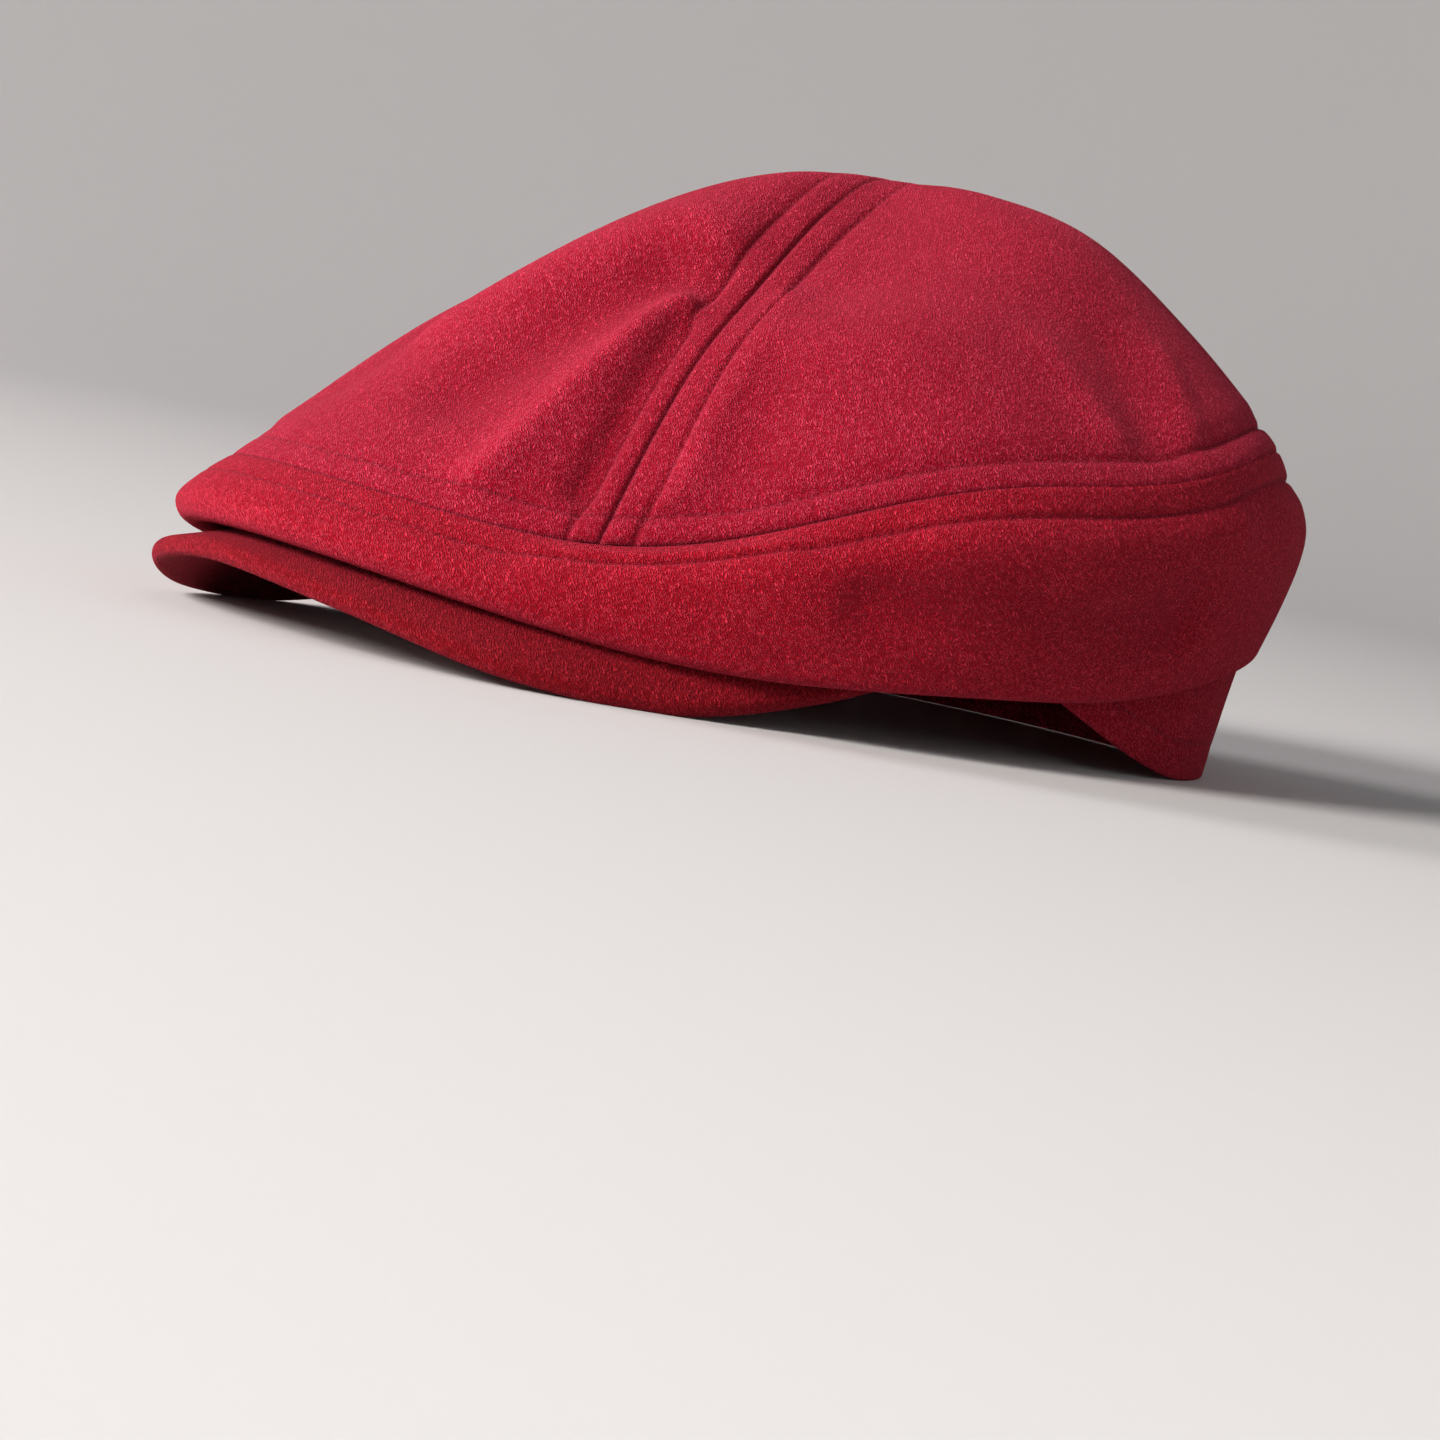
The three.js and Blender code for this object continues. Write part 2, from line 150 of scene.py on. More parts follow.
# The crown: straight out in plan from the tip to the seam. The height falls by shares at the
# quarters, joined by cubics whose slopes are half the step between their neighbours, nought at
# the tip, and at the seam 3/2 of the last step less 1/4 of the last two.
def plainCrown(angle, share):
    c = capShape
    seamOut, seamUp = (throughStations(bandRows[name], angle) for name in ("seamOut", "seamUp"))
    seam = placeAt(angle, seamOut, seamUp)
    inner = [throughStations(crownRows[name], angle) for name in ("quarter", "half", "threeQuarters")]
    falls = np.stack([0 * inner[0], *inner, 0 * inner[0] + 1], -1)
    slopes = np.concatenate(
        [
            0 * falls[..., :1],
            (falls[..., 2:] - falls[..., :-2]) / 2,
            1.5 * (falls[..., 4:] - falls[..., 3:4]) - 0.25 * (falls[..., 4:] - falls[..., 2:3]),
        ],
        -1,
    )
    step = np.clip(np.floor(share * 4), 0, 3).astype(int)
    ends = [
        np.take_along_axis(table, (step + k)[..., None], -1)[..., 0]
        for k in (0, 1) for table in (falls, slopes)
    ]
    fall = cubicBetween(*ends, share * 4 - step)
    x = seam[..., 0] * share
    y = c["tipBack"] + (seam[..., 1] - c["tipBack"]) * share
    return np.stack([x, y, c["tipUp"] - (c["tipUp"] - seam[..., 2]) * fall], -1)


# The band: a centripetal spline through eight places of its section, from the seam over the
# widest line, round the half circle of the fold and up inside to the hem.
def plainBand(angle, share):
    row = {name: throughStations(values, angle) for name, values in bandRows.items()}
    bend = math.sqrt(0.5)
    out, up, roll, tuck = (row[name] for name in ("foldOut", "foldUp", "roll", "tuck"))
    places = [
        (row["seamOut"], row["seamUp"]),
        (row["wideOut"], row["wideUp"]),
        (out + roll, up + roll),
        (out + roll * bend, up + roll * (1 - bend)),
        (out, up),
        (out - roll * bend, up + tuck * (1 - bend)),
        (out - roll, up + tuck),
        (row["hemOut"], hemHeight(angle)),
    ]
    line = np.stack([np.stack(place, -1) for place in places], -2)
    before = 2 * line[..., :1, :] - line[..., 1:2, :]
    beyond = 2 * line[..., -1:, :] - line[..., -2:-1, :]
    line = np.concatenate([before, line, beyond], -2)
    share = np.clip(share, 0, 1)
    step = np.clip(np.floor(share * bandSpans), 0, bandSpans - 1).astype(int)
    t = (share * bandSpans - step)[..., None]
    p = [np.take_along_axis(line, (step + k)[..., None, None], -2)[..., 0, :] for k in range(4)]
    flat = splineBetween(p, t)
    return placeAt(angle, flat[..., 0], flat[..., 1])


# The direction square to a surface and away from the inside: its slope down times its slope round.
def squareTo(surface, angle, share, shareStep=0.004):
    along = surface(angle + 90 * shareStep, share) - surface(angle - 90 * shareStep, share)
    down = surface(angle, share + shareStep) - surface(angle, share - shareStep)
    return unit(np.cross(down, along))


# The lift of all folds at some points: a bell of the distance from each fold's line.
def foldLift(surface, folds, spans, points):
    lift = np.zeros(points.shape[:-1])
    for fromAngle, fromPlace, toAngle, toPlace, width, height in folds:
        angles, places = np.array([fromAngle, toAngle], float), np.array([fromPlace, toPlace])
        ends = surface(angles, places / spans)
        run = ends[1] - ends[0]
        t = np.clip((points - ends[0]) @ run / (run @ run), 0, 1)
        away = np.linalg.norm(points - ends[0] - t[..., None] * run, axis=-1)
        lift += height * np.exp(-((away / width) ** 2))
    return lift


def crownSurface(angle, share):
    points = plainCrown(angle, share)
    across = share * np.abs(np.sin(np.radians(np.abs(angle) - capShape["seamAngle"])))
    f = foldFades
    fade = smoothStep(share, *f["crownFrom"]) * (1 - smoothStep(share, *f["crownTo"]))
    fade = fade * smoothStep(across, *capShape["besideSeam"])
    lift = foldLift(plainCrown, crownFolds, 1, points) * fade
    return points + squareTo(plainCrown, angle, share) * lift[..., None], lift


def bandSurface(angle, share):
    points = plainBand(angle, share)
    f = foldFades
    span = share * bandSpans
    fade = smoothStep(span, *f["bandFrom"]) * (1 - smoothStep(span, *f["bandTo"]))
    lift = foldLift(plainBand, bandFolds, bandSpans, points) * fade
    return points + squareTo(plainBand, angle, share) * lift[..., None], lift


# Normals of a grid of points: the difference down the rows crossed with that along the columns.
def gridNormals(points, ring=False):
    down = np.gradient(points, axis=0)
    along = np.gradient(points, axis=1)
    if ring:
        along[:, 0] = along[:, -1] = (points[:, 1] - points[:, -2]) / 2
    return unit(np.cross(down, along))


def runLength(points, axis):  # distance walked along a grid's rows or columns
    steps = np.linalg.norm(np.diff(points, axis=axis), axis=-1)
    return np.concatenate([np.zeros_like(np.take(steps, [0], axis)), np.cumsum(steps, axis)], axis)


# Height of the cloth by its distance from a seam: the seam's groove and the groove that the
# topstitch pulls are bells, and the strip between them is puffed by half a sine wave.
def stitchedRelief(d):
    s = seamRelief
    groove = -s["grooveDepth"] * np.exp(-((d / s["grooveWidth"]) ** 2))
    pulled = -s["stitchDepth"] * np.exp(-(((d - s["stitchFromSeam"]) / s["stitchWidth"]) ** 2))
    return groove + pulled + s["puff"] * np.sin(np.pi * np.clip(d / s["stitchFromSeam"], 0, 1))


def pressedRelief(d):  # the stitched strip lies lower than the loose cloth beside it
    s = seamRelief
    risen = smoothStep(d, s["stitchFromSeam"], s["stitchFromSeam"] + s["risesOver"])
    return -s["pressedDown"] * (1 - risen)


# The share of its relief that a seam keeps: less at the tip, where the side seams meet, and less
# round the front, where the cloth is drawn smooth over the peak.
reliefKept = dict(atTip=0.3, fromTip=(0.08, 0.42), atFront=0.15, fromFront=(14, 36))


def tipShare(share):
    k = reliefKept
    return k["atTip"] + (1 - k["atTip"]) * smoothStep(share, *k["fromTip"])


def frontShare(angle):
    k = reliefKept
    return k["atFront"] + (1 - k["atFront"]) * smoothStep(np.abs(angle), *k["fromFront"])


def toMetres(points):
    return (points + np.array(capShape["shift"])) / 1000


def quadMesh(name, points, quads):
    mesh = bpy.data.meshes.new(name)
    mesh.vertices.add(len(points))
    mesh.vertices.foreach_set("co", np.ascontiguousarray(points, np.float32).ravel())
    mesh.loops.add(quads.size)
    mesh.loops.foreach_set("vertex_index", np.ascontiguousarray(quads, np.int32).ravel())
    mesh.polygons.add(len(quads))
    mesh.polygons.foreach_set("loop_start", np.arange(0, quads.size, 4, dtype=np.int32))
    mesh.polygons.foreach_set("use_smooth", np.ones(len(quads), bool))
    mesh.update(calc_edges=True)
    piece = bpy.data.objects.new(name, mesh)
    bpy.context.scene.collection.objects.link(piece)
    return piece


# A closed wall between an outer and an inner grid of points. In a ring the last column repeats
# the first. maps holds a grid of two values for each UV map, values a grid for each attribute.
def clothWall(name, outer, inner, ring, maps, values):
    rows, columns = outer.shape[:2]
    wide = columns - 1 if ring else columns
    r, c = gridPlaces(rows - 1, columns - 1)
    top, low = np.zeros(columns - 1, int), np.full(columns - 1, rows - 1)
    cols = np.arange(columns - 1)
    corners = [
        [(0, r, c), (0, r + 1, c), (0, r + 1, c + 1), (0, r, c + 1)],
        [(1, r, c), (1, r, c + 1), (1, r + 1, c + 1), (1, r + 1, c)],
        [(0, top, cols), (0, top, cols + 1), (1, top, cols + 1), (1, top, cols)],
        [(0, low, cols), (1, low, cols), (1, low, cols + 1), (0, low, cols + 1)],
    ]
    if not ring:
        down = np.arange(rows - 1)
        left, right = np.zeros(rows - 1, int), np.full(rows - 1, columns - 1)
        corners.append([(0, down, left), (1, down, left), (1, down + 1, left), (0, down + 1, left)])
        corners.append([(0, down, right), (0, down + 1, right), (1, down + 1, right), (1, down, right)])
    side = np.concatenate([np.stack([np.full(q[0][1].shape, k[0]) for k in q], -1) for q in corners])
    row = np.concatenate([np.stack([k[1] for k in q], -1) for q in corners])
    column = np.concatenate([np.stack([k[2] for k in q], -1) for q in corners])
    quads = side * rows * wide + row * wide + column % wide
    points = np.concatenate([outer[:, :wide].reshape(-1, 3), inner[:, :wide].reshape(-1, 3)])
    piece = quadMesh(name, toMetres(points), quads)
    for mapName, grid in maps.items():
        layer = piece.data.uv_layers.new(name=mapName)
        layer.uv.foreach_set("vector", np.ascontiguousarray(grid[row, column], np.float32).ravel())
    for valueName, grid in values.items():
        attribute = piece.data.attributes.new(valueName, "FLOAT", "POINT")
        flat = grid[:, :wide].ravel()
        attribute.data.foreach_set("value", np.concatenate([flat, flat]).astype(np.float32))
    return piece


# The places where a field over a grid first reaches a level, one for each column (axis 0) or
# row (axis 1), by straight interpolation between the two grid points beside it.
def levelLine(points, normals, field, level, axis):
    if axis:
        points, normals, field = points.swapaxes(0, 1), normals.swapaxes(0, 1), field.T
    after = np.argmax(field > level, axis=0)
    good = after > 0
    k = np.arange(field.shape[1])[good]
    after = after[good]
    before = after - 1
    t = ((level - field[before, k]) / (field[after, k] - field[before, k]))[:, None]
    place = points[before, k] * (1 - t) + points[after, k] * t
    return place, unit(normals[before, k] * (1 - t) + normals[after, k] * t)


panelMesh = dict(closerBySides=0.115, closerByBand=0.085)


# A top panel between two seams that run out from the tip. Columns lie closer beside the seams:
# the angle is the even share less a sine of it, and rows lie closer beside the band.
def topPanel(name, fromAngle, toAngle, columns, rows):
    u = np.linspace(0, 1, columns)
    u = u - panelMesh["closerBySides"] * np.sin(2 * np.pi * u)
    v = np.linspace(0, 1, rows)
    v = v + panelMesh["closerByBand"] * np.sin(np.pi * v) ** 2
    angle = fromAngle + (toAngle - fromAngle) * u[None, :] + 0 * v[:, None]
    fromTip = plainCrown(angle[:1], 0 * angle[:1] + 1) - plainCrown(angle[:1], 0 * angle[:1])
    reach = np.linalg.norm(fromTip[..., :2], axis=-1)
    first = capShape["tipRadius"] / reach
    share = first + (1 - first) * v[:, None]
    points, lift = crownSurface(angle, share)
    normals = gridNormals(points)
    walked = runLength(points, 0)
    toBand = walked[-1:] - walked
    turn = np.minimum(angle - fromAngle, toAngle - angle)
    toSide = share * reach * np.sin(np.radians(np.minimum(turn, 90)))
    atTip, atFront = tipShare(share), frontShare(angle)
    relief = stitchedRelief(toSide) * atTip + stitchedRelief(toBand) * atFront
    relief = relief + np.minimum(pressedRelief(toSide) * atTip, pressedRelief(toBand) * atFront)
    relief = np.maximum(relief, -seamRelief["deepest"])
    outer = points + normals * relief[..., None]
    inner = points + normals * np.minimum(-capShape["cloth"], relief - seamRelief["thinnest"])[..., None]
    seamRun = runLength(plainCrown(angle[-1:], 0 * angle[-1:] + 1), 1)
    maps = dict(
        sideSeam=np.stack([walked, toSide], -1),
        bandSeam=np.stack(np.broadcast_arrays(seamRun, toBand), -1),
    )
    # The folds' lift also goes to the shader as painted highlight on their ridges and painted shade in
    # their dents.
    piece = clothWall(name + "_cloth", outer, inner, False, maps, dict(foldShading=lift))
    return piece, dict(points=outer, normals=gridNormals(outer), toSide=toSide, toBand=toBand)


seam = capShape["seamAngle"]
frontPanel, frontGrids = topPanel("front_top_panel", -seam, seam, 200, 170)
leftPanel, leftGrids = topPanel("rear_left_top_panel", seam, 180, 240, 185)
rightPanel, rightGrids = topPanel("rear_right_top_panel", -180, -seam, 240, 185)
print("top panels made")

# The side band goes round in one piece. perSpan is the number of rows in each span of its
# section, and the hem's edge is rounded over its last rows, at hemRows millimetres from it, as
# if the last span were lastSpan millimetres long.
bandMesh = dict(
    columns=520, perSpan=[36, 22, 4, 4, 4, 4, 12], lastSpan=30.0, clearOfHem=2.6,
    hemRows=[2.2, 1.2, 0.7, 0.4, 0.2, 0.07, 0.0],
)


def sideBand():
    b, h = bandMesh, hemRelief
    shares = [0.0]
    for span, steps in enumerate(b["perSpan"]):
        shares += [(span + (i + 1) / steps) / bandSpans for i in range(steps)]
    shares = [s for s in shares if s < 1 - b["clearOfHem"] / b["lastSpan"] / bandSpans]
    shares += [1 - d / b["lastSpan"] / bandSpans for d in b["hemRows"]]
    around = np.linspace(-180, 180, b["columns"] + 1)
    share, angle = np.meshgrid(np.array(shares), around, indexing="ij")
    points, lift = bandSurface(angle, share)
    normals = gridNormals(points, ring=True)
    walked = runLength(points, 0)
    toHem = walked[-1:] - walked
    relief = (stitchedRelief(walked) + pressedRelief(walked)) * frontShare(angle)
    nape = smoothStep(np.abs(angle), h["napeFrom"], h["napeTo"])
    relief = relief - h["depth"] * nape * np.exp(-(((toHem - h["stitchFromHem"]) / h["width"]) ** 2))
    half = capShape["cloth"] / 2
    rounding = half * (1 - np.sqrt(1 - (1 - np.clip(toHem / half, 0, 1)) ** 2))
    outer = points + normals * (relief - rounding)[..., None]
    back = np.minimum(-capShape["cloth"], relief - seamRelief["thinnest"])
    inner = points + normals * (back + rounding)[..., None]
    outer[..., 2] = np.maximum(outer[..., 2], 0)
    inner[..., 2] = np.maximum(inner[..., 2], 0)
    seamRun = runLength(points[:1], 1)
    maps = dict(
        bandSeam=np.stack(np.broadcast_arrays(seamRun, walked), -1),
        hemSeam=np.stack(np.broadcast_arrays(seamRun, toHem + h["beyond"] * (1 - nape)), -1),
    )
    # The folds' lift also goes to the shader as painted highlight on their ridges and painted shade in
    # their dents.
    piece = clothWall("side_band_cloth", outer, inner, True, maps, dict(foldShading=lift))
    square = gridNormals(outer, ring=True)
    return piece, dict(points=outer, normals=square, toSeam=walked, toHem=toHem, angle=angle)


bandPiece, bandGrids = sideBand()
print("side band made")

# The peak's rim from the middle of the front to each side: angle, out, up of its outer edge.
peakShape = dict(
    rows=[
        (0, 139, 11.7), (15, 135.2, 8), (30, 124.8, 1.5), (45, 107.5, 0.1), (60, 92.1, 6), (72, 86.6, 12.7),
    ],
    board=4.4, gap=0.3, crown=0.6, mostPerLength=1 / 24, along=320, across=34, rimSteps=20,
)


# A centripetal spline through points in space, at parameters from 0 to 1 with even spans.
def splineThrough(line, share):
    line = np.concatenate([2 * line[:1] - line[1:2], line, 2 * line[-1:] - line[-2:-1]])
    spans = len(line) - 3
    step = np.clip(np.floor(share * spans), 0, spans - 1).astype(int)
    t = (share * spans - step)[:, None]
    return splineBetween([line[step + k] for k in range(4)], t)


# The peak: at each place along its rim a closed section, straight from the root at the hem with
# a low sine crown, a half circle round the rim, and back underneath.
def peak():
    k = peakShape
    half = k["board"] / 2
    rows = np.array([(-a, o, u) for a, o, u in k["rows"][:0:-1]] + k["rows"], float)
    edge = placeAt(rows[:, 0], rows[:, 1] - half, rows[:, 2] + half)
    rim = splineThrough(edge, np.linspace(0, 1, k["along"]))
    rim[:, 2] = np.maximum(rim[:, 2], half)
    angle = np.degrees(np.arctan2(rim[:, 0], -rim[:, 1]))
    root = plainBand(angle, 0 * angle + 1)
    root = root + squareTo(plainBand, angle, 0 * angle + 1) * (half + k["gap"])
    chord = rim - root
    length = np.linalg.norm(chord, axis=-1)
    upwards = unit(np.cross(chord, placeAt(angle + 90, 1.0, 0.0)))
    ahead = unit(chord)
    t = np.linspace(0, 1, k["across"])
    crown = np.sin(np.pi * t)[None] * np.minimum(k["crown"], length * k["mostPerLength"])[:, None]
    middle = root[:, None] + chord[:, None] * t[None, :, None]
    upper = middle + upwards[:, None] * (crown + half)[..., None]
    lower = (middle + upwards[:, None] * (crown - half)[..., None])[:, ::-1]
    turn = np.pi / 2 - np.pi * np.arange(1, k["rimSteps"]) / k["rimSteps"]
    rounded = (
        rim[:, None] + half * np.sin(turn)[None, :, None] * upwards[:, None]
        + half * np.cos(turn)[None, :, None] * ahead[:, None]
    )
    section = np.concatenate([upper, rounded, lower], 1)
    section[..., 2] = np.maximum(section[..., 2], 0)
    n, size = section.shape[:2]
    s, i = gridPlaces(n - 1, size)
    j = (i + 1) % size
    quads = np.stack([s * size + i, s * size + j, (s + 1) * size + j, (s + 1) * size + i], -1)
    e = np.arange(size // 2 - 1)
    f = size - 1 - e
    firstCap = np.stack([e, f, f - 1, e + 1], -1)
    lastCap = (n - 1) * size + np.stack([e, e + 1, f - 1, f], -1)
    quads = np.concatenate([quads, firstCap, lastCap])
    return quadMesh("peak_cloth", toMetres(section.reshape(-1, 3)), quads)


peakPiece = peak()
print("peak made")

# The topstitching: one short thread for each stitch, lying in the groove it pulls.
threadShape = dict(
    pitch=3.2, length=2.3, thickness=0.34, rise=-0.08, arch=0.5, blunt=1.03, stations=(-1, -0.7, 0, 0.7, 1),
    lookAhead=0.6,
)


# Stitches along lines of points: each is a closed tube of four sides whose radius falls to the
# ends as a root of nearly one less the fourth power, and whose middle stands higher as a parabola.
def stitching(name, lines):
    k = threadShape
    centres, tangents, normals = [], [], []
    for place, square in lines:
        walked = runLength(place, 0)
        at = np.arange(k["pitch"] / 2, walked[-1], k["pitch"])
        both = [
            np.stack([np.interp(at + d, walked, place[:, j]) for j in range(3)], -1)
            for d in (-k["lookAhead"], k["lookAhead"])
        ]
        centres.append((both[0] + both[1]) / 2)
        tangents.append(unit(both[1] - both[0]))
        normals.append(np.stack([np.interp(at, walked, square[:, j]) for j in range(3)], -1))
    centre, tangent, normal = (np.concatenate(each)[:, None, None] for each in (centres, tangents, normals))
    sideways = unit(np.cross(tangent, normal))
    normal = unit(np.cross(sideways, tangent))
    s = np.array(k["stations"])[None, :, None, None]
    turn = (np.arange(4) * np.pi / 2 + np.pi / 4)[None, None, :, None]
    radius = k["thickness"] / 2 * np.sqrt(k["blunt"] - s**4)
    lift = k["rise"] - k["arch"] * s**2
    points = (
        centre + tangent * s * k["length"] / 2 + normal * (lift + radius * np.cos(turn))
        + sideways * radius * np.sin(turn)
    )
    count, rings, sides = points.shape[:3]
    ring, side = gridPlaces(rings - 1, sides)
    nextSide = (side + 1) % sides
    here, above = ring * sides, (ring + 1) * sides
    one = np.stack([here + side, here + nextSide, above + nextSide, above + side], -1)
    firstEnd = np.arange(sides)[None]
    one = np.concatenate([one, firstEnd[:, ::-1], firstEnd + (rings - 1) * sides])
    quads = (one[None] + rings * sides * np.arange(count)[:, None, None]).reshape(-1, 4)
    return quadMesh(name, toMetres(points.reshape(-1, 3)), quads), count


def panelLines(grids):
    level = seamRelief["stitchFromSeam"]
    middle = grids["points"].shape[1] // 2
    lines = []
    for part in (slice(0, middle), slice(None, middle - 1, -1)):
        half = (grids[name][:, part] for name in ("points", "normals", "toSide"))
        lines.append(levelLine(*half, level, 1))
    rising = (grids[name][::-1] for name in ("points", "normals", "toBand"))
    lines.append(levelLine(*rising, level, 0))
    return lines


crownStitches, crownCount = stitching(
    "crown_stitching", panelLines(frontGrids) + panelLines(leftGrids) + panelLines(rightGrids)
)


# On the band one line runs all round below the seam, and one on each side above the nape's hem.
def bandLines(grids):
    falling = (grids[name] for name in ("points", "normals", "toSeam"))
    lines = [levelLine(*falling, seamRelief["stitchFromSeam"], 0)]
    for sign in (1, -1):
        part = grids["angle"][0] * sign > hemRelief["threadsFrom"]
        rising = (grids[name][::-1, part] for name in ("points", "normals", "toHem"))
        lines.append(levelLine(*rising, hemRelief["stitchFromHem"], 0))
    return lines


bandStitches, bandCount = stitching("band_stitching", bandLines(bandGrids))
print("stitches made:", crownCount, "on the crown and", bandCount, "on the band")


# Short helpers for node trees.
def addNode(tree, kind, **settings):
    node = tree.nodes.new(kind)
    for name, value in settings.items():
        setattr(node, name, value)
    return node


def setInputs(node, **values):  # a low line in a name stands for the space in a socket's name
    for name, value in values.items():
        node.inputs[name.replace("_", " ")].default_value = value


def newGroup(name, inputs, outputs):
    tree = bpy.data.node_groups.new(name, "ShaderNodeTree")
    for socketName, kind in inputs:
        tree.interface.new_socket(socketName, in_out="INPUT", socket_type="NodeSocket" + kind)
    for socketName, kind in outputs:
        tree.interface.new_socket(socketName, in_out="OUTPUT", socket_type="NodeSocket" + kind)
    return tree, tree.nodes.new("NodeGroupInput"), tree.nodes.new("NodeGroupOutput")


def feed(tree, socket, value):  # a plain number or colour is set, an output is linked
    if isinstance(value, (int, float, tuple)):
        socket.default_value = value
    else:
        tree.links.new(value, socket)


def mathNode(tree, operation, *values, clamp=False):
    node = addNode(tree, "ShaderNodeMath", operation=operation, use_clamp=clamp)
    for socket, value in zip(node.inputs, values):
        feed(tree, socket, value)
    return node.outputs[0]


def times(tree, a, b):
    return mathNode(tree, "MULTIPLY", a, b)


def plus(tree, a, b):
    return mathNode(tree, "ADD", a, b)


def apart(tree, a, b):  # how far two values lie apart
    return mathNode(tree, "ABSOLUTE", mathNode(tree, "SUBTRACT", a, b))


def mixColours(tree, factor, a, b):
    node = addNode(tree, "ShaderNodeMix", data_type="RGBA")
    for socket, value in ((node.inputs[0], factor), (node.inputs[6], a), (node.inputs[7], b)):
        feed(tree, socket, value)
    return node.outputs[2]


def noise(tree, position, scale, detail, distortion):
    node = addNode(tree, "ShaderNodeTexNoise")
    setInputs(node, Detail=detail, Distortion=distortion)
    tree.links.new(position, node.inputs["Vector"])
    feed(tree, node.inputs["Scale"], scale)
    return node.outputs["Fac"]


def remap(tree, value, fromLow, fromHigh, toLow=0.0, toHigh=1.0):
    node = addNode(tree, "ShaderNodeMapRange", interpolation_type="SMOOTHSTEP")
    setInputs(node, From_Min=fromLow, From_Max=fromHigh, To_Min=toLow, To_Max=toHigh)
    tree.links.new(value, node.inputs["Value"])
    return node.outputs["Result"]


# Short curly nap: bent diagonal waves for the rows of curls, a finer noise that breaks them, and
# two broad noises for the soft marks where the nap has been stroked one way or the other.
# The colour steps from a shaded deep colour through the cloth to lit tips as the curls rise:
# painted shade in the nap's hollows and painted highlight on its crests, over its own mottling.
# The soft folds' lift adds painted highlight on their ridges and painted shade in their dents.
# The pairs are where each step between two states starts and ends.
napPattern = dict(
    bending=9.0, detail=1.5, detailScale=1.1, detailRoughness=0.5, finerBy=1.6, fineBend=1.2,
    fineStep=(0.3, 0.7), keptWave=0.4, waveShare=0.7, markScale=95.0, markDetail=3.0, markBend=0.6,
    broadScale=24.0, broadDetail=2.0, broadBend=0.3, markShare=0.6, foldShadingLift=0.06,
    clothStep=(0.08, 0.56), litTipsStep=(0.48, 0.92), roughStep=(0.1, 0.9), roughness=(0.99, 0.85),
)


def buildNap():
    k = napPattern
    tree, given, out = newGroup(
        "curlyNap",
        [
            ("Position", "Vector"), ("Curls", "Float"), ("FoldShading", "Float"), ("Marks", "Float"),
            ("Deep", "Color"), ("Cloth", "Color"), ("Tips", "Color"),
        ],
        [("Color", "Color"), ("Height", "Float"), ("Roughness", "Float")],
    )
    position, curls, shadedDeep = (given.outputs[name] for name in ("Position", "Curls", "Deep"))
    waves = addNode(tree, "ShaderNodeTexWave", wave_type="BANDS", bands_direction="DIAGONAL")
    setInputs(waves, Distortion=k["bending"], Detail=k["detail"], Detail_Scale=k["detailScale"],
              Detail_Roughness=k["detailRoughness"])
    tree.links.new(position, waves.inputs["Vector"])
    tree.links.new(curls, waves.inputs["Scale"])
    fine = noise(tree, position, times(tree, curls, k["finerBy"]), 0.0, k["fineBend"])
    fine = remap(tree, fine, *k["fineStep"])
    kept = mathNode(tree, "MULTIPLY_ADD", fine, 1 - k["keptWave"], k["keptWave"])
    broken = times(tree, times(tree, waves.outputs["Fac"], kept), k["waveShare"])
    curl = plus(tree, broken, times(tree, fine, 1 - k["waveShare"]))
    marks = noise(tree, position, k["markScale"], k["markDetail"], k["markBend"])
    broad = noise(tree, position, k["broadScale"], k["broadDetail"], k["broadBend"])
    both = plus(tree, times(tree, marks, k["markShare"]), times(tree, broad, 1 - k["markShare"]))
    soft = mathNode(tree, "SUBTRACT", both, 0.5)
    level = plus(tree, curl, times(tree, soft, given.outputs["Marks"]))
    # Painted highlight and painted shade of the soft folds: their lift raises the level on ridges and
    # lowers it in dents.
    level = plus(tree, level, times(tree, given.outputs["FoldShading"], k["foldShadingLift"]))
    # Painted shade and painted highlight of the nap: low curls take the shaded deep colour, high ones the
    # lit tips.
    body = mixColours(tree, remap(tree, level, *k["clothStep"]), shadedDeep, given.outputs["Cloth"])
    colour = mixColours(tree, remap(tree, level, *k["litTipsStep"]), body, given.outputs["Tips"])
    rough = remap(tree, level, *k["roughStep"], *k["roughness"])
    tree.links.new(colour, out.inputs["Color"])
    tree.links.new(curl, out.inputs["Height"])
    tree.links.new(rough, out.inputs["Roughness"])
    return tree


# Stitching seen from above: a hole at each end of a stitch in the topstitch's groove, and puckers
# that reach a little way beside it. Its Shade is painted shade: a dark line in the seam, and darker
# colour along the topstitch's groove and in its holes. Seam holds the distance along the seam and
# the distance from it, both in millimetres. The pairs of ends are shares of a stitch from its
# middle, and those of reach are distances at which a mark is nought and full.
stitchLook = dict(
    holeEnds=(0.28, 0.5), holeReach=(0.7, 0.1), puckerEnds=(0.0, 0.5), puckerReach=(2.6, 0.4),
    grooveReach=(0.7, 0.15), lineReach=(0.6, 0.1), holeDepth=0.35, puckerDepth=0.25,
    grooveShade=0.4, holeShade=0.12, lineShade=0.6,
)


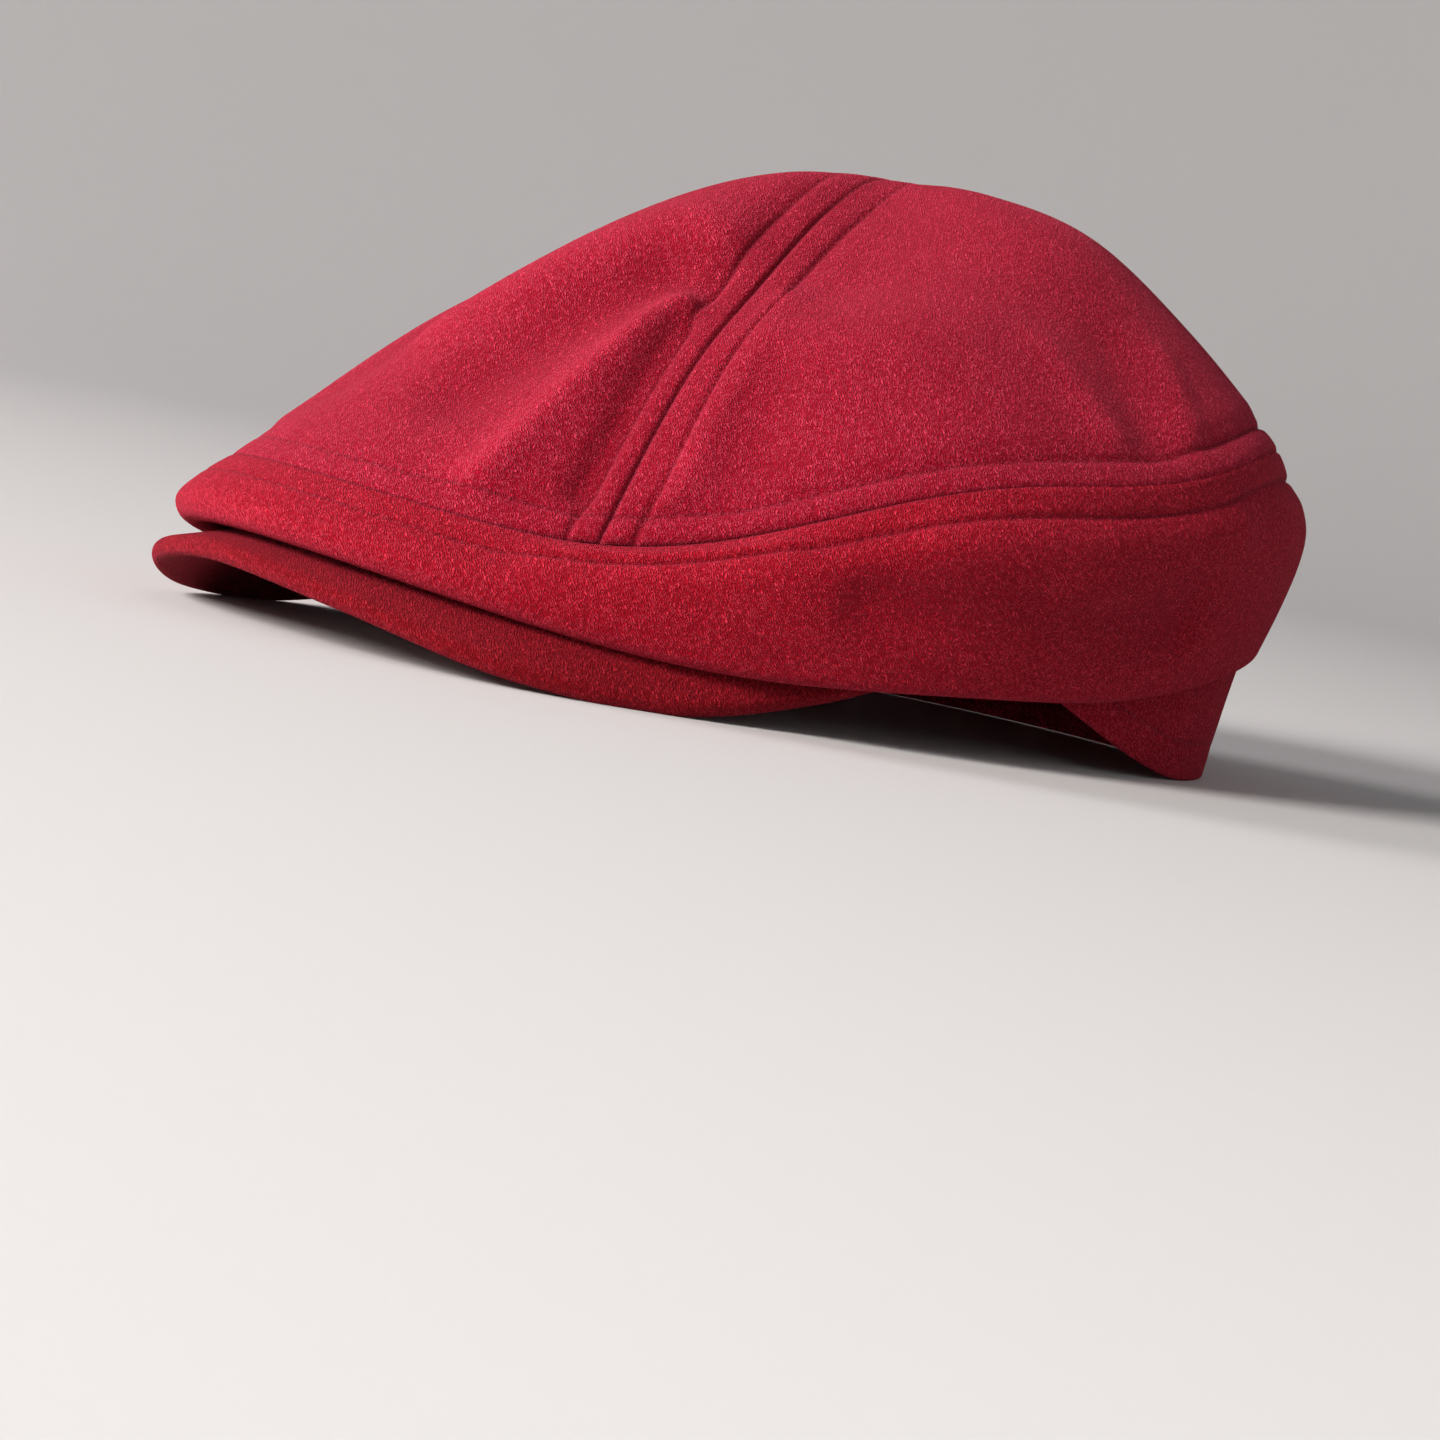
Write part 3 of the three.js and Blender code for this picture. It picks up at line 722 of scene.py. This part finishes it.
def buildStitchMarks():
    k = stitchLook
    tree, given, out = newGroup(
        "stitchMarks",
        [("Seam", "Vector"), ("Line From Seam", "Float"), ("Pitch", "Float"), ("Seam Line", "Float")],
        [("Height", "Float"), ("Shade", "Float")],
    )
    parts = tree.nodes.new("ShaderNodeSeparateXYZ")
    tree.links.new(given.outputs["Seam"], parts.inputs[0])
    walked, fromSeam = parts.outputs[0], parts.outputs[1]
    along = mathNode(tree, "FRACT", mathNode(tree, "DIVIDE", walked, given.outputs["Pitch"]))
    away = apart(tree, fromSeam, given.outputs["Line From Seam"])
    end = apart(tree, along, 0.5)
    hole = times(tree, remap(tree, end, *k["holeEnds"]), remap(tree, away, *k["holeReach"]))
    pucker = times(tree, remap(tree, end, *k["puckerEnds"]), remap(tree, away, *k["puckerReach"]))
    groove = remap(tree, away, *k["grooveReach"])
    line = times(tree, remap(tree, fromSeam, *k["lineReach"]), given.outputs["Seam Line"])
    low = plus(tree, times(tree, hole, k["holeDepth"]), times(tree, pucker, k["puckerDepth"]))
    tree.links.new(mathNode(tree, "SUBTRACT", 0.0, low), out.inputs["Height"])
    # Painted shade: the groove, the holes and the seam line darken the colour.
    shade = plus(tree, times(tree, groove, k["grooveShade"]), times(tree, hole, k["holeShade"]))
    shade = mathNode(tree, "ADD", shade, times(tree, line, k["lineShade"]), clamp=True)
    tree.links.new(shade, out.inputs["Shade"])
    return tree


napGroup = buildNap()
stitchGroup = buildStitchMarks()

# Each suede steps from a shaded deep colour through its cloth colour to lit tips: painted shade and painted
# highlight on the nap.
suedes = dict(
    crown=dict(
        shadedDeep=(0.18, 0.001, 0.008, 1), cloth=(0.31, 0.004, 0.019, 1), litTips=(0.47, 0.034, 0.066, 1),
        marks=0.5, sheen=0.35, seams=("sideSeam", "bandSeam"), hem=None,
    ),
    band=dict(
        shadedDeep=(0.17, 0.001, 0.006, 1), cloth=(0.31, 0.002, 0.011, 1), litTips=(0.48, 0.024, 0.044, 1),
        marks=0.4, sheen=0.3, seams=("bandSeam",), hem="hemSeam",
    ),
    # The peak's colours are darker than the crown's: painted shade for the shadow that the lip casts on the
    # peak.
    peak=dict(
        shadedDeep=(0.11, 0.001, 0.003, 1), cloth=(0.195, 0.0015, 0.006, 1), litTips=(0.32, 0.011, 0.019, 1),
        marks=0.4, sheen=0.15, seams=(), hem=None,
    ),
)
napLook = dict(
    curls=820.0, bumpDepth=0.0004, sheenRoughness=0.5, sheenTint=(1.0, 0.11, 0.2, 1), shine=0.08,
    seamShade=(0.10, 0.0015, 0.007, 1),
)


def suedeMaterial(name, look):
    material = bpy.data.materials.new(name)
    material.use_nodes = True
    tree = material.node_tree
    shader = tree.nodes["Principled BSDF"]
    place = tree.nodes.new("ShaderNodeTexCoord").outputs["Object"]
    nap = addNode(tree, "ShaderNodeGroup", node_tree=napGroup)
    tree.links.new(place, nap.inputs["Position"])
    setInputs(nap, Curls=napLook["curls"], Deep=look["shadedDeep"], Cloth=look["cloth"], Tips=look["litTips"],
              Marks=look["marks"])
    height = nap.outputs["Height"]
    colour = nap.outputs["Color"]
    if look["seams"]:
        # The folds' lift, which paints highlight on their ridges and shade in their dents.
        foldShading = addNode(tree, "ShaderNodeAttribute", attribute_name="foldShading")
        tree.links.new(foldShading.outputs["Fac"], nap.inputs["FoldShading"])
    seamLines = [(seamName, seamRelief["stitchFromSeam"], 1.0) for seamName in look["seams"]]
    if look["hem"]:
        seamLines.append((look["hem"], hemRelief["stitchFromHem"], 0.0))
    for seamName, lineFromSeam, seamLine in seamLines:
        seamMap = addNode(tree, "ShaderNodeUVMap", uv_map=seamName)
        marks = addNode(tree, "ShaderNodeGroup", node_tree=stitchGroup)
        tree.links.new(seamMap.outputs["UV"], marks.inputs["Seam"])
        setInputs(marks, Line_From_Seam=lineFromSeam, Pitch=threadShape["pitch"], Seam_Line=seamLine)
        height = plus(tree, height, marks.outputs["Height"])
        # Painted shade of the stitching: the seam line, grooves and holes mix toward the seam shade colour.
        colour = mixColours(tree, marks.outputs["Shade"], colour, napLook["seamShade"])
    bump = addNode(tree, "ShaderNodeBump")
    setInputs(bump, Strength=1.0, Distance=napLook["bumpDepth"])
    tree.links.new(height, bump.inputs["Height"])
    tree.links.new(bump.outputs["Normal"], shader.inputs["Normal"])
    tree.links.new(colour, shader.inputs["Base Color"])
    tree.links.new(nap.outputs["Roughness"], shader.inputs["Roughness"])
    setInputs(shader, Sheen_Weight=look["sheen"], Sheen_Roughness=napLook["sheenRoughness"],
              Sheen_Tint=napLook["sheenTint"], Specular_IOR_Level=napLook["shine"])
    return material


threadLook = dict(
    colour=(0.28, 0.004, 0.016, 1), between=(0.154, 0.002, 0.008, 1), twists=1500.0, twistDetail=1.0,
    twistBend=0.4, relief=0.6, bumpDepth=0.0001, roughness=0.6, sheen=0.3, sheenTint=(1.0, 0.4, 0.45, 1),
)


def threadMaterial(name):
    look = threadLook
    material = bpy.data.materials.new(name)
    material.use_nodes = True
    tree = material.node_tree
    shader = tree.nodes["Principled BSDF"]
    place = tree.nodes.new("ShaderNodeTexCoord").outputs["Object"]
    twist = noise(tree, place, look["twists"], look["twistDetail"], look["twistBend"])
    colour = mixColours(tree, twist, look["between"], look["colour"])
    tree.links.new(colour, shader.inputs["Base Color"])
    bump = addNode(tree, "ShaderNodeBump")
    setInputs(bump, Strength=look["relief"], Distance=look["bumpDepth"])
    tree.links.new(twist, bump.inputs["Height"])
    tree.links.new(bump.outputs["Normal"], shader.inputs["Normal"])
    setInputs(shader, Roughness=look["roughness"], Sheen_Weight=look["sheen"],
              Sheen_Tint=look["sheenTint"])
    return material


crownSuede = suedeMaterial("crownSuede", suedes["crown"])
bandSuede = suedeMaterial("bandSuede", suedes["band"])
peakShadowedSuede = suedeMaterial("peakShadowedSuede", suedes["peak"])
thread = threadMaterial("stitchThread")

for piece, material, slot, node in (
    (frontPanel, crownSuede, "crown_suede", "front_top_panel"),
    (leftPanel, crownSuede, "crown_suede", "rear_left_top_panel"),
    (rightPanel, crownSuede, "crown_suede", "rear_right_top_panel"),
    (bandPiece, bandSuede, "band_suede", "side_band"),
    (peakPiece, peakShadowedSuede, "peak_suede", "peak"),
    (crownStitches, thread, "crown_suede", None),
    (bandStitches, thread, "band_suede", None),
):
    piece.data.materials.append(material)
    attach(piece, "root")
    if node:
        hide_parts(node)
print("materials set")

# A pale floor that rises far off into a round wall, so no horizon shows from any side.
stageShape = dict(
    innermost=0.001, flatTo=1.4, reach=5.0, wallHeight=3.2, steepness=2.2, rings=90, places=97,
    colour=(0.62, 0.61, 0.6, 1), roughness=0.9,
)


# The stage: nought on the flat, and from there the height grows as a power of the distance.
def stage():
    k = stageShape
    out = np.linspace(k["innermost"], k["reach"], k["rings"])
    turn = np.linspace(0, 2 * np.pi, k["places"])
    out, turn = np.meshgrid(out, turn, indexing="ij")
    beyond = np.clip((out - k["flatTo"]) / (k["reach"] - k["flatTo"]), 0, 1)
    rise = beyond ** k["steepness"] * k["wallHeight"]
    points = np.stack([out * np.cos(turn), out * np.sin(turn), rise], -1)
    rows, columns = points.shape[0], points.shape[1] - 1
    r, c = gridPlaces(rows - 1, columns)
    here, outwards, nextOne = r * columns, (r + 1) * columns, (c + 1) % columns
    quads = np.stack([here + c, outwards + c, outwards + nextOne, here + nextOne], -1)
    floor = quadMesh("stage", points[:, :-1].reshape(-1, 3), quads)
    material = bpy.data.materials.new("paleFloor")
    material.use_nodes = True
    shader = material.node_tree.nodes["Principled BSDF"]
    setInputs(shader, Base_Color=k["colour"], Roughness=k["roughness"])
    floor.data.materials.append(material)


stage()

# Lights by azimuth and elevation in degrees (azimuth 0 is in front of the cap), metres and watts.
lights = dict(
    key=dict(azimuth=8, elevation=22, distance=3.0, size=0.9, power=142, colour=(1.0, 0.97, 0.94)),
    fill=dict(azimuth=70, elevation=30, distance=3.0, size=1.8, power=7, colour=(0.94, 0.96, 1.0)),
    edge=dict(azimuth=-42, elevation=22, distance=3.0, size=1.2, power=60, colour=(1.0, 0.93, 0.95)),
)
lightsAim = (0, 0, 0.05)
sky = dict(Color=(0.93, 0.94, 1.0, 1), Strength=0.16)


def fromSide(azimuth, elevation, distance, target):
    a, e = math.radians(azimuth), math.radians(elevation)
    back = Vector((math.sin(a) * math.cos(e), -math.cos(a) * math.cos(e), math.sin(e)))
    return Vector(target) + back * distance, back


for name, k in lights.items():
    data = bpy.data.lights.new(name + "Light", "AREA")
    data.size, data.energy, data.color = k["size"], k["power"], k["colour"]
    lamp = bpy.data.objects.new(name + "Light", data)
    lamp.location, back = fromSide(k["azimuth"], k["elevation"], k["distance"], lightsAim)
    lamp.rotation_euler = back.to_track_quat("Z", "Y").to_euler()
    bpy.context.scene.collection.objects.link(lamp)

world = bpy.data.worlds.new("studio")
world.use_nodes = True
setInputs(world.node_tree.nodes["Background"], **sky)
bpy.context.scene.world = world
bpy.context.scene.view_settings.view_transform = "Standard"

# The camera stands low to the front left of the cap and leans to one side, as in the photograph.
cameraPlace = dict(
    azimuth=52.538, elevation=4.071, distance=1.056, roll=10.692, lens=125.05, sensor=36.0,
    nearest=0.01, target=(0.0040, -0.0008, -0.0059),
)


def camera():
    k = cameraPlace
    place, back = fromSide(k["azimuth"], k["elevation"], k["distance"], k["target"])
    level = Vector((0, 0, 1)).cross(back).normalized()
    upright = back.cross(level)
    roll = math.radians(k["roll"])
    right = level * math.cos(roll) + upright * math.sin(roll)
    up = upright * math.cos(roll) - level * math.sin(roll)
    data = bpy.data.cameras.new("camera")
    data.lens, data.sensor_width, data.clip_start = k["lens"], k["sensor"], k["nearest"]
    eye = bpy.data.objects.new("camera", data)
    eye.matrix_world = Matrix.Translation(place) @ Matrix((right, up, back)).transposed().to_4x4()
    bpy.context.scene.collection.objects.link(eye)
    bpy.context.scene.camera = eye


camera()
print("stage, lights and camera set")
